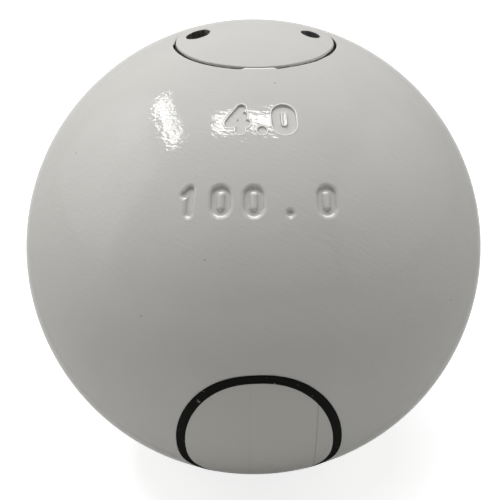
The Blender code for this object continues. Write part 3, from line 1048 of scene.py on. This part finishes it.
def make_world():
    """A room that reads white in the picture and in reflections, and lights nothing else."""
    world = bpy.data.worlds.new("pale_room")
    world.use_nodes = True
    nodes = world.node_tree.nodes
    links = world.node_tree.links
    background = nodes["Background"]
    background.inputs["Color"].default_value = (*WHITE, 1.0)
    links.new(camera_rays(nodes, links), background.inputs["Strength"])
    bpy.context.scene.world = world


def make_floor():
    """A pale floor that reads white in the picture and still takes the ball's soft shadow."""
    foot = (0, 0, -BALL_RADIUS)
    bpy.ops.mesh.primitive_circle_add(vertices=96, radius=3.0, fill_type="NGON", location=foot)
    floor = bpy.context.active_object
    floor.name = "floor"
    material, nodes, links, shader = node_material("floor_white")
    shader.inputs["Base Color"].default_value = (0.6, 0.6, 0.6, 1.0)
    shader.inputs["Roughness"].default_value = 0.9
    shader.inputs["Specular IOR Level"].default_value = 0.0
    shader.inputs["Emission Color"].default_value = (*WHITE, 1.0)
    glow = arithmetic(nodes, links, "MULTIPLY", camera_rays(nodes, links), FLOOR_GLOW)
    links.new(glow, shader.inputs["Emission Strength"])
    floor.data.materials.append(material)


def make_camera():
    """The camera looks past the ball's centre so that the ball lies where the photograph has it."""
    data = bpy.data.cameras.new("camera")
    camera = bpy.data.objects.new("camera", data)
    bpy.context.collection.objects.link(camera)
    focal = BALL_PIXEL_RADIUS / math.tan(math.asin(BALL_RADIUS / CAMERA_DISTANCE))
    data.sensor_width = 36.0
    data.lens = focal * data.sensor_width / PICTURE
    data.shift_x = (PICTURE / 2 - BALL_PIXEL[0]) / PICTURE
    data.shift_y = (BALL_PIXEL[1] - PICTURE / 2) / PICTURE
    data.clip_start = 0.01
    camera.location = (
        0,
        -CAMERA_DISTANCE * math.cos(CAMERA_ELEVATION),
        CAMERA_DISTANCE * math.sin(CAMERA_ELEVATION),
    )
    tilt = Matrix.Rotation(math.pi / 2 - CAMERA_ELEVATION, 3, "X")
    camera.rotation_euler = (tilt @ Matrix.Rotation(CAMERA_ROLL, 3, "Z")).to_euler()
    bpy.context.scene.camera = camera


# Each lamp: its place, what it faces, its width and height, its power, whether reflections show
# it, and then how far it is turned, in degrees, and its colour, where these aren't plain
LAMPS = {
    "top": ((0.0, 0.0, 1.3), (0, 0, 0), (1.2, 1.2), 9.8, False),
    "right_back": ((0.9, 0.5, 0.6), (0, 0, 0), (0.7, 0.7), 1.0, False),
    "low_left": ((-1.0, -0.3, -0.03), (0, 0, 0), (0.8, 0.1), 1.37, False, 0.0, WARM),
    "low_right": ((1.0, -0.3, -0.03), (0, 0, 0), (0.8, 0.1), 0.83, False, 0.0, WARM),
    "wall_left": ((-1.2, 0.37, 0.65), (0, 0.37, 0.65), (1.3, 1.56), 4.23, True, 90.0),
    "wall_right": ((1.2, 0.02, 0.60), (0, 0.02, 0.60), (1.2, 2.3), 2.64, True, 90.0),
    "glow_left": ((-0.90, 0.42, 0.84), (0, 0, 0), (0.5, 0.35), 0.3, True),
    "strip_left": ((-0.642, 0.175, 0.9), (-0.642, 0.175, 0), (0.072, 0.604), 2.0, True, 7.0),
    "strip_left_dim": ((-0.574, 0.184, 0.9), (-0.574, 0.184, 0), (0.066, 0.604), 1.1, True, 7.0),
    "strip_top": ((-0.03, -0.065, 0.9), (-0.03, -0.065, 0), (0.46, 0.14), 2.6, True),
}


def main():
    enamel = enamel_material("enamel_gloss", 0.07)
    pooled = enamel_material("enamel_pooled", 0.5)
    # Paler enamel: painted highlights on the rim and the stamps
    highlight_enamel = enamel_material("enamel_painted_highlight", 0.2, 1.6)
    # Near-black port wall and cavity: bare iron, and painted shade of the crevice
    iron_and_shade = plain_material("port_iron_and_shade", (0.035, 0.033, 0.03), 0.8, 300, 0.00003, 0.4)
    threaded = metal_material("cut_thread", (0.22, 0.22, 0.23), 0.38, 400, 0.00001)
    # Near-black plug wall: bare steel, and painted shade of the crevice
    steel_and_shade = plain_material("hole_steel_and_shade", (0.03, 0.029, 0.027), 0.8, 900, 0.00004, 0.6)
    # The spanner holes' insides: bare steel, and painted shade of the pits
    pale_pit_and_shade = plain_material("pale_hole_and_shade", (0.15, 0.15, 0.153), 0.8, 900, 0.00004, 0.3)
    dark_pit_and_shade = plain_material("dark_hole_and_shade", (0.12, 0.115, 0.105), 0.8, 1500, 0.00004, 0.9)
    rubber = plain_material("rubber_black", (0.02, 0.02, 0.021), 0.75, 300, 0.00001)
    felt = plain_material("felt_grey", (0.22, 0.19, 0.15), 0.95, 900, 0.0001, 0.45)
    lead = metal_material("cast_lead", (0.18, 0.19, 0.21), 0.6, 120, 0.00005)
    film = print_material("label_film", (0.55, 0.54, 0.505), 0.9, 0.0, LABEL_FOLD_SHADES)
    ink = print_material("label_ink", (0.006, 0.006, 0.005), 0.06, 1.0)

    ball = make_ball(enamel, iron_and_shade, threaded, pooled, highlight_enamel)
    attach(ball, "ball")
    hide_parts("shell")

    plug = make_plug(enamel, steel_and_shade, threaded)
    cut_holes(plug, (pale_pit_and_shade, dark_pit_and_shade))
    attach(plug, "plug")
    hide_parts("filler_plug")

    seal = make_ring(rubber)
    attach(seal, "washer")
    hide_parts("sealing_washer")

    wad = make_wad(felt)
    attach(wad, "ball")
    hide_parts("packing_wad")

    label = make_label(film, ink)
    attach(label, "ball")
    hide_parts("blank_label")

    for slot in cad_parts["lead_core"].material_slots:
        slot.material = lead

    make_floor()
    make_world()
    for name, settings in LAMPS.items():
        lamp(name, *settings)
    make_camera()
    bpy.context.scene.view_settings.view_transform = "Standard"


main()
